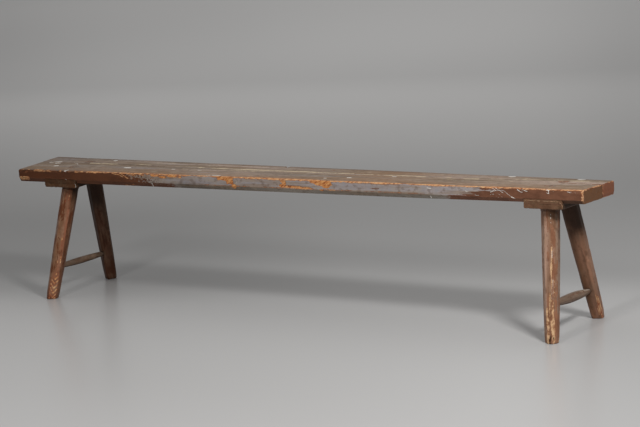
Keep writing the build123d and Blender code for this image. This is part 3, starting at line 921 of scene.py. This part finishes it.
class Web:
    """Builds a node tree from short calls."""

    def __init__(self, tree):
        self.tree = tree
        tree.nodes.clear()

    def add(self, kind, inputs=None, **settings):
        node = self.tree.nodes.new(kind)
        for key, value in settings.items():
            setattr(node, key, value)
        for key, value in (inputs or {}).items():
            if isinstance(value, bpy.types.NodeSocket):
                self.tree.links.new(value, node.inputs[key])
            else:
                node.inputs[key].default_value = value
        return node

    def layer(self, name, output="Fac"):
        return self.add("ShaderNodeAttribute", attribute_name=name).outputs[output]

    def place(self, output="Object"):
        return self.add("ShaderNodeTexCoord").outputs[output]

    def math(self, operation, a, b=0.0, clamp=False):
        return self.add("ShaderNodeMath", {0: a, 1: b}, operation=operation, use_clamp=clamp).outputs[0]

    def times(self, a, b):
        return self.math("MULTIPLY", a, b)

    def sum(self, *parts):
        total = parts[0]
        for part in parts[1:]:
            total = self.math("ADD", total, part)
        return total

    def weigh(self, *parts):
        return self.sum(*(self.times(source, share) for source, share in parts))

    def vector(self, operation, a, b=(0, 0, 0), output="Vector"):
        return self.add("ShaderNodeVectorMath", {0: a, 1: b}, operation=operation).outputs[output]

    def noise(self, vector, stretch, detail, roughness=0.6, distortion=0.0, scale=1.0):
        inputs = {"Vector": self.vector("MULTIPLY", vector, stretch), "Scale": scale, "Detail": detail}
        inputs.update({"Roughness": roughness, "Distortion": distortion})
        return self.add("ShaderNodeTexNoise", inputs).outputs["Fac"]

    def step(self, value, low, high, to_low=0.0, to_high=1.0, kind="SMOOTHSTEP"):
        inputs = {"Value": value, "From Min": low, "From Max": high, "To Min": to_low, "To Max": to_high}
        return self.add("ShaderNodeMapRange", inputs, interpolation_type=kind).outputs["Result"]

    def mix(self, share, a, b):
        a, b = (value if isinstance(value, bpy.types.NodeSocket) else (*value, 1) for value in (a, b))
        return self.add("ShaderNodeMix", {0: share, 6: a, 7: b}, data_type="RGBA").outputs[2]

    def surface(self, inputs, relief=None, strength=0.0, distance=0.0):
        """End the tree in a principled surface, with a bump where a relief is given."""
        if relief is not None:
            bump = self.add("ShaderNodeBump", {"Height": relief, "Strength": strength, "Distance": distance})
            inputs["Normal"] = bump.outputs[0]
        shader = self.add("ShaderNodeBsdfPrincipled", inputs)
        self.add("ShaderNodeOutputMaterial", {"Surface": shader.outputs[0]})


# The least roughness of painted wood: dirt and painted shade, chips, streaks and bare wood add to it
ROUGHNESS = 0.36


def new_material(name):
    """A material and its empty node tree."""
    material = bpy.data.materials.new(name)
    material.use_nodes = True
    return material, Web(material.node_tree)


def growth_rings(web, grain, spacing, pith):
    """Growth rings as wavy cylinders round a pith that runs along the grain, from 0 to 1."""
    wander = web.noise(grain, (1.6, 9, 9), 3.0, 0.55)
    across = web.vector("MULTIPLY", web.vector("SUBTRACT", grain, pith), (0, 1, 1))
    radius = web.math("ADD", web.vector("LENGTH", across, output="Value"), web.times(wander, 0.022))
    return web.step(web.math("SINE", web.times(radius, math.tau / spacing)), -0.9, 0.95)


def painted_wood(name, colours, pith=(0, 0.03, -0.09), ring_spacing=0.0042):
    """Old pine under worn paint, driven by a piece's painted layers."""
    material, web = new_material(name)
    grain = web.layer("grain", "Vector")
    fibre = web.noise(grain, (14, 620, 620), 5.0)
    streak = web.noise(grain, (3.2, 95, 95), 5.0, distortion=0.4)
    blotch = web.noise(grain, (22, 40, 40), 4.0)
    broad = web.noise(grain, (2.4, 30, 30), 4.0, distortion=0.3)
    mottle = web.noise(grain, (48, 75, 75), 4.0, 0.62)
    chip = web.noise(grain, (110, 240, 240), 6.0, 0.68)
    crumb = web.noise(grain, (420, 520, 520), 3.0)
    turned = web.add("ShaderNodeVectorRotate", {"Vector": grain, "Angle": 0.65}, rotation_type="Y_AXIS").outputs[0]
    slash = web.noise(turned, (50, 90, 170), 5.0, 0.65)
    rings = growth_rings(web, grain, ring_spacing, pith)
    ragged = web.math("SUBTRACT", web.weigh((chip, 0.62), (streak, 0.38)), 0.5)
    tone, warm, blue, bare = (web.layer(layer) for layer in ("tone", "warm", "blue", "bare"))

    def tint(colour, *bands):
        """Blend colours over one another, each (source, low, high, most, name)."""
        for source, low, high, most, other in bands:
            colour = web.mix(web.step(source, low, high, 0.0, most), colour, colours[other])
        return colour

    # Each colour's darker left copy blended into its lighter right copy: painted light falloff along the bench
    def toned(kind):
        return web.mix(tone, colours[f"{kind}_left"], colours[f"{kind}_right"])

    def mask(level, roughness, low, high, most=1.0):
        return web.step(web.math("ADD", level, web.times(ragged, roughness)), low, high, 0.0, most)

    wood = web.mix(web.step(tone, 0.55, 1.0, 0.0, 0.55), colours["wood_light"], colours["wood_aged"])
    wood = tint(
        web.mix(web.times(rings, 0.5), wood, colours["wood_dark"]),
        (fibre, 0.35, 0.75, 0.5, "wood_dark"), (blotch, 0.45, 0.8, 0.45, "wood_grey"),
        (slash, 0.50, 0.60, 0.75, "wood_pale"), (slash, 0.47, 0.38, 0.8, "rust"), (chip, 0.44, 0.36, 0.6, "wood_dark"),
    )
    wood = web.mix(web.times(warm, blue), wood, web.vector("MULTIPLY", wood, (1.05, 0.88, 0.66)))
    under = tint(toned("under"), (blotch, 0.35, 0.7, 0.5, "under_deep"), (streak, 0.5, 0.75, 0.35, "under_right"))
    coat = tint(toned("coat"), (broad, 0.44, 0.59, 0.85, "coat_olive"))
    coat = web.mix(web.times(warm, 0.85), coat, colours["warm"])
    blues = tint(toned("blue"), (broad, 0.50, 0.62, 0.55, "blue_warm"), (mottle, 0.50, 0.62, 0.5, "blue_cool"))
    # The low layer lays the darker bevel colours over the coat: painted shade
    coat = web.mix(web.layer("low"), web.mix(blue, coat, blues), toned("low"))
    coat = tint(
        coat, (streak, 0.46, 0.62, 0.6, "coat_worn"), (blotch, 0.48, 0.75, 0.5, "coat_pale"),
        (mottle, 0.50, 0.36, 0.45, "coat_deep"),
    )

    coat_mask = mask(web.layer("coat"), 1.5, 0.40, 0.54)
    bare_mask = mask(bare, 1.7, 0.44, 0.60)
    rim_mask = web.times(mask(bare, 1.7, 0.30, 0.44, 0.75), web.step(bare, 0.05, 0.25))
    white_mask = mask(web.layer("white"), 0.9, 0.40, 0.55)
    pale_mask = mask(web.layer("pale"), 1.6, 0.35, 0.65, 0.85)
    colour = web.mix(coat_mask, web.mix(web.layer("endwise"), under, colours["end"]), coat)
    colour = web.mix(rim_mask, web.mix(pale_mask, colour, colours["pale"]), colours["rust"])
    colour = web.mix(white_mask, web.mix(bare_mask, colour, wood), colours["white"])
    # The grime layer, which holds dirt and painted shade, and crumbs of dirt darken the colour
    dirt_and_shade = web.math("ADD", web.layer("grime"), web.step(crumb, 0.62, 0.8, 0.0, 0.22), clamp=True)
    colour = web.mix(web.times(dirt_and_shade, 0.85), colour, colours["grime"])

    rough = web.sum(web.weigh((bare_mask, 0.20), (chip, 0.16), (dirt_and_shade, 0.10), (streak, 0.08)), ROUGHNESS)
    relief = web.weigh(
        (coat_mask, 0.35), (bare_mask, -0.55), (white_mask, 0.45), (pale_mask, 0.12), (fibre, 0.34), (chip, 0.22),
        (crumb, 0.12), (web.times(rings, bare_mask), -0.35),
    )
    web.surface({"Base Color": colour, "Roughness": rough, "Specular IOR Level": 0.2}, relief, 0.55, 0.0008)
    return material


def plain_wood(name, light, dark, scale):
    """Aged bare pine for small pieces, from their place in the bench."""
    material, web = new_material(name)
    fibre = web.noise(web.place(), (260, 260, 40), 5.0, scale=scale)
    blotch = web.noise(web.place(), (60, 60, 60), 4.0)
    colour = web.mix(web.step(fibre, 0.3, 0.7), light, dark)
    colour = web.mix(web.step(blotch, 0.4, 0.75, 0.0, 0.6), colour, (0.16, 0.12, 0.10))
    web.surface({"Base Color": colour, "Roughness": web.step(fibre, 0.2, 0.8, 0.55, 0.8)}, fibre, 0.5, 0.0005)
    return material


def old_iron(name):
    """Dark forged iron with brown rust."""
    material, web = new_material(name)
    rust = web.noise(web.place(), (1, 1, 1), 5.0, 0.65, scale=420.0)
    pits = web.noise(web.place(), (1, 1, 1), 3.0, scale=1500.0)
    colour = web.mix(web.step(rust, 0.42, 0.66), (0.045, 0.038, 0.034), (0.14, 0.055, 0.025))
    rough, metal = web.step(rust, 0.3, 0.7, 0.45, 0.8), web.step(rust, 0.62, 0.45)
    web.surface({"Base Color": colour, "Roughness": rough, "Metallic": metal}, web.sum(rust, pits), 0.6, 0.0004)
    return material


# Each _left and _right pair is one paint in a darker and a lighter copy, blended along the bench by the tone layer:
# painted light falloff towards the key lamp on the right. The low colours are the front bevel's darker grey: painted
# shade.
SEAT_COLOURS = {
    "wood_light": (0.62, 0.31, 0.137), "wood_dark": (0.38, 0.145, 0.055), "wood_grey": (0.36, 0.24, 0.17),
    "wood_pale": (0.72, 0.45, 0.23), "wood_aged": (0.60, 0.37, 0.23), "rust": (0.200, 0.062, 0.026),
    "under_left": (0.094, 0.030, 0.0105), "under_right": (0.203, 0.090, 0.052), "under_deep": (0.062, 0.023, 0.011),
    "coat_left": (0.208, 0.156, 0.124), "coat_right": (0.400, 0.300, 0.243), "coat_olive": (0.145, 0.100, 0.058),
    "coat_worn": (0.255, 0.172, 0.108), "coat_pale": (0.41, 0.33, 0.255), "coat_deep": (0.115, 0.076, 0.052),
    "blue_left": (0.222, 0.188, 0.182), "blue_right": (0.416, 0.366, 0.365), "blue_warm": (0.360, 0.292, 0.235),
    "blue_cool": (0.290, 0.285, 0.300), "low_left": (0.040, 0.020, 0.009), "low_right": (0.330, 0.292, 0.250),
    "warm": (0.262, 0.143, 0.072), "end": (0.142, 0.064, 0.028), "pale": (0.62, 0.50, 0.33),
    "white": (0.80, 0.76, 0.70), "grime": (0.045, 0.028, 0.017),
}
BACK_COLOURS = {**SEAT_COLOURS, "end": (0.200, 0.074, 0.038)}
BATTEN_COLOURS = {
    **SEAT_COLOURS, "rust": (0.10, 0.042, 0.02), "grime": (0.022, 0.012, 0.006),
    "wood_light": (0.46, 0.29, 0.17), "wood_dark": (0.25, 0.13, 0.06), "wood_pale": (0.50, 0.34, 0.22),
    "under_left": (0.096, 0.040, 0.016), "under_right": (0.176, 0.088, 0.050), "under_deep": (0.058, 0.026, 0.012),
    "coat_left": (0.112, 0.053, 0.026), "coat_right": (0.196, 0.110, 0.066), "coat_worn": (0.122, 0.068, 0.036),
    "coat_olive": (0.112, 0.062, 0.032), "coat_deep": (0.058, 0.028, 0.014), "coat_pale": (0.19, 0.13, 0.085),
}
LEG_COLOURS = {
    **SEAT_COLOURS, "rust": (0.200, 0.078, 0.036), "grime": (0.018, 0.0085, 0.0042),
    "wood_light": (0.64, 0.40, 0.22), "wood_dark": (0.32, 0.155, 0.07), "wood_grey": (0.42, 0.28, 0.17),
    "wood_pale": (0.72, 0.48, 0.27), "end": (0.200, 0.158, 0.128), "pale": (0.62, 0.47, 0.345),
    "under_left": (0.136, 0.043, 0.018), "under_right": (0.292, 0.136, 0.078), "under_deep": (0.105, 0.040, 0.020),
    "coat_left": (0.158, 0.067, 0.036), "coat_right": (0.375, 0.228, 0.162), "coat_worn": (0.225, 0.116, 0.068),
    "coat_olive": (0.205, 0.106, 0.058), "coat_pale": (0.34, 0.215, 0.140), "coat_deep": (0.105, 0.044, 0.024),
    "blue_left": (0.225, 0.180, 0.160), "blue_right": (0.222, 0.178, 0.142), "blue_warm": (0.18, 0.115, 0.08),
    "blue_cool": (0.175, 0.14, 0.12),
}
RICH_WOOD = {"wood_light": (0.68, 0.36, 0.15), "wood_dark": (0.34, 0.10, 0.045), "rust": (0.24, 0.060, 0.030)}
# The front right leg's light warm colour serves the painted highlight on its left edge
LEG_OWN = {
    "front_left": {"warm": (0.365, 0.145, 0.082), **RICH_WOOD}, "front_right": {"warm": (0.560, 0.365, 0.275)},
    "back_left": {"warm": (0.28, 0.12, 0.07)}, "back_right": {"warm": (0.355, 0.157, 0.082), **RICH_WOOD},
}
STRETCHER_COLOURS = {
    **LEG_COLOURS, "coat_left": (0.118, 0.070, 0.042), "coat_right": (0.290, 0.188, 0.136),
    "coat_worn": (0.170, 0.108, 0.072), "coat_olive": (0.155, 0.098, 0.064), "under_left": (0.105, 0.048, 0.026),
    "under_right": (0.21, 0.105, 0.070), "blue_left": (0.165, 0.115, 0.078), "blue_right": (0.225, 0.170, 0.125),
    "pale": (0.46, 0.39, 0.32), "white": (0.45, 0.38, 0.30), "grime": (0.040, 0.023, 0.014),
}


# Stage, light and camera ----------------------------------------------------------------------------------

# Stops of the floor's grey, which is painted light and shade: (metres into the picture, tone), darker from 0.4 to 2.2
# m where the bench's shadow falls and brighter further back, with a bright band near 5.5 m; then (place across the
# view, tone), a painted falloff to the sides
FLOOR_LIGHT_AND_SHADOW_TONES = [
    (-2.0, 0.462), (-0.9, 0.487), (-0.3, 0.503), (0.05, 0.483), (0.4, 0.381), (0.8, 0.354), (1.2, 0.370), (2.2, 0.385),
    (3.0, 0.562), (3.7, 0.657), (4.6, 0.757), (5.5, 0.775), (6.4, 0.582), (9.0, 0.543), (11.5, 0.655), (14.0, 0.800),
]
SIDE_FALLOFF_TONES = [
    (-0.166, 0.76), (-0.13, 0.866), (-0.09, 0.926), (-0.045, 0.932), (0, 0.988), (0.05, 1.0), (0.10, 0.985),
    (0.13, 0.948), (0.166, 0.81),
]


def ramp(web, value, stops):
    """A smooth grey ramp through (place, tone) stops."""
    low, high = stops[0][0], stops[-1][0]
    node = web.add("ShaderNodeValToRGB", {"Fac": web.step(value, low, high, kind="LINEAR")})
    node.color_ramp.interpolation = "B_SPLINE"
    places = node.color_ramp.elements
    while len(places) < len(stops):
        places.new(0.5)
    for place, (where, tone) in zip(places, stops):
        place.position = (where - low) / (high - low)
        place.color = (tone, tone, tone, 1)
    return node.outputs["Color"]


def make_floor():
    """A wide pale floor whose grey is painted light and shade: it grades with distance, as a studio sweep's light
    does, is darker where the bench's shadow falls behind it, and falls off to the sides.
    """
    radius, count = 60.0, 96
    turns = [math.tau * i / count for i in range(count)]
    mesh = bpy.data.meshes.new("floor")
    points = [(radius * math.cos(turn), radius * math.sin(turn), 0) for turn in turns]
    mesh.from_pydata(points, [], [list(range(count))])
    material, web = new_material("studio_floor")

    def dot(vector, way):
        return web.vector("DOT_PRODUCT", vector, way, "Value")

    depth = dot(web.place(), (-0.295, 0.955, 0))
    off = web.vector("SUBTRACT", web.place(), CAMERA_PLACE)
    aside = web.math("DIVIDE", dot(off, VIEW_RIGHT), dot(off, VIEW_AWAY))
    # Painted falloff to the sides, growing further back
    edge = web.mix(web.step(depth, 0.5, 3.5), (1, 1, 1), ramp(web, aside, SIDE_FALLOFF_TONES))
    # Painted shadow of the bench to the left behind it
    left = web.times(web.step(aside, 0.03, -0.10, 0.0, 0.24), web.step(depth, 0.0, 0.35))
    edge = web.mix(web.times(left, web.step(depth, 2.3, 1.4)), edge, (0, 0, 0))
    # Darker to the right near the front
    right = web.times(web.step(aside, 0.08, 0.18, 0.0, 0.16), web.step(depth, 0.5, -0.7))
    tone = web.vector("MULTIPLY", ramp(web, depth, FLOOR_LIGHT_AND_SHADOW_TONES), web.mix(right, edge, (0, 0, 0)))
    web.surface({"Base Color": web.vector("MULTIPLY", tone, (1.012, 1.0, 0.985)), "Roughness": 0.28})
    mesh.materials.append(material)
    link("floor", mesh)


def area_lamp(name, place, aim, size, power):
    """A square soft lamp."""
    data = bpy.data.lights.new(name, "AREA")
    data.shape, data.size, data.energy = "SQUARE", size, power
    lamp = link(name, data)
    lamp.location = place
    lamp.rotation_mode = "QUATERNION"
    lamp.rotation_quaternion = (Vector(aim) - Vector(place)).to_track_quat("-Z", "Y")
    lamp.visible_glossy = False


def make_light():
    """A soft key from the right, a soft lamp in front, one on the backdrop and a sky brighter overhead."""
    area_lamp("key", (3.2, -1.65, 3.05), (0.2, 0, 0.3), 0.7, 122)
    area_lamp("front", (0.2, -5.3, 3.4), (0, 0, 0.3), 0.8, 86)
    area_lamp("backdrop", (-4.0, 7.5, 5.0), (-6.5, 11.0, 0.0), 4.0, 110)
    world = bpy.data.worlds.new("studio")
    bpy.context.scene.world = world
    world.use_nodes = True
    web = Web(world.node_tree)
    way = web.place("Generated")
    height = web.add("ShaderNodeSeparateXYZ", {0: way}).outputs["Z"]
    room = web.vector("DOT_PRODUCT", way, (0.55, -0.83, 0), "Value")
    level = web.times(web.step(height, 0.0, 0.9, 0.20, 0.62), web.step(room, -0.2, 0.7, 1.0, 0.15))
    back = web.add("ShaderNodeBackground", {"Color": (1.0, 0.995, 0.99, 1), "Strength": level})
    web.add("ShaderNodeOutputWorld", {"Surface": back.outputs[0]})


def make_camera():
    """The photograph's viewpoint: a long lens from the front right, slightly rolled."""
    yaw, pitch, roll = 0.58117, 0.18262, -0.0652
    view = Vector((-math.sin(yaw) * math.cos(pitch), math.cos(yaw) * math.cos(pitch), -math.sin(pitch)))
    level = view.cross(Vector((0, 0, 1))).normalized()
    upright = level.cross(view)
    right = level * math.cos(roll) + upright * math.sin(roll)
    up = upright * math.cos(roll) - level * math.sin(roll)
    data = bpy.data.cameras.new("camera")
    data.sensor_width, data.sensor_fit, data.lens = 36, "HORIZONTAL", 108.70
    camera = link("camera", data)
    camera.matrix_world = Matrix.Translation(CAMERA_PLACE) @ Matrix((right, up, -view)).transposed().to_4x4()
    bpy.context.scene.camera = camera


# Assembly ---------------------------------------------------------------------------------------------------

def dress(mesh, material):
    """Give a mesh its one material."""
    mesh.materials.clear()
    mesh.materials.append(material)


def make_piece(key, build, wear, paint_layers, cutters, material, node, slot):
    """Build, wear, cut, paint and dress one piece, and let it stand for its CAD node."""
    piece = build(*key)
    wear(piece, *key)
    if cutters:
        cut(piece, *cutters)
    paint_layers(piece, *key)
    dress(piece.data, material)
    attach(piece, "root")
    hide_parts(node)


def make_bench():
    """Make every visible piece, and dress the small CAD nodes that stay visible."""
    seat_colours = {"front": SEAT_COLOURS, "back": BACK_COLOURS}
    seat_paint = {side: painted_wood(f"seat_paint_{side}", seat_colours[side]) for side in SIDES}
    batten_paint = painted_wood("batten_paint", BATTEN_COLOURS, (0, 3.1, -0.08))
    bar_paint = painted_wood("stretcher_paint", STRETCHER_COLOURS, (0, 6.3, 0.0), 0.003)
    planks, battens = (plank, wear_plank, paint_plank), (batten, wear_batten, paint_batten)
    stretchers, legs = (stretcher, wear_stretcher, paint_stretcher), (leg, wear_leg, paint_leg)
    for side in SIDES:
        cutters = ["batten_left", "batten_right", *(f"leg_{side}_{end}" for end in ENDS)]
        make_piece((side,), *planks, cutters, seat_paint[side], f"seat_board_{side}", "seat_wood")
    for end in ENDS:
        cutters = [f"leg_{side}_{end}" for side in SIDES]
        make_piece((end,), *battens, cutters, batten_paint, f"batten_{end}", "batten_wood")
        make_piece((end,), *stretchers, [], bar_paint, f"stretcher_{end}", "stretcher_wood")
        for side in SIDES:
            name = f"{side}_{end}"
            pith = (0, LEG_SEED[name] * 0.1 + 0.012, 0.03)
            leg_paint = painted_wood(f"leg_paint_{name}", {**LEG_COLOURS, **LEG_OWN[name]}, pith, 0.0036)
            cutters = [f"leg_wedge_{name}", f"stretcher_{end}"]
            make_piece((side, end), *legs, cutters, leg_paint, f"leg_{name}", "leg_wood")
    wedge_wood = plain_wood("wedge_wood", (0.30, 0.21, 0.15), (0.17, 0.11, 0.075), 1.0)
    dress(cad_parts["seat_dowels"].data, plain_wood("dowel_wood", (0.50, 0.34, 0.19), (0.32, 0.19, 0.10), 1.3))
    dress(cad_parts["batten_nails"].data, old_iron("wrought_iron"))
    for side in SIDES:
        for end in ENDS:
            dress(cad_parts[f"leg_wedge_{side}_{end}"].data, wedge_wood)


make_camera()
make_floor()
make_light()
make_bench()
bpy.context.scene.view_settings.view_transform = "Standard"
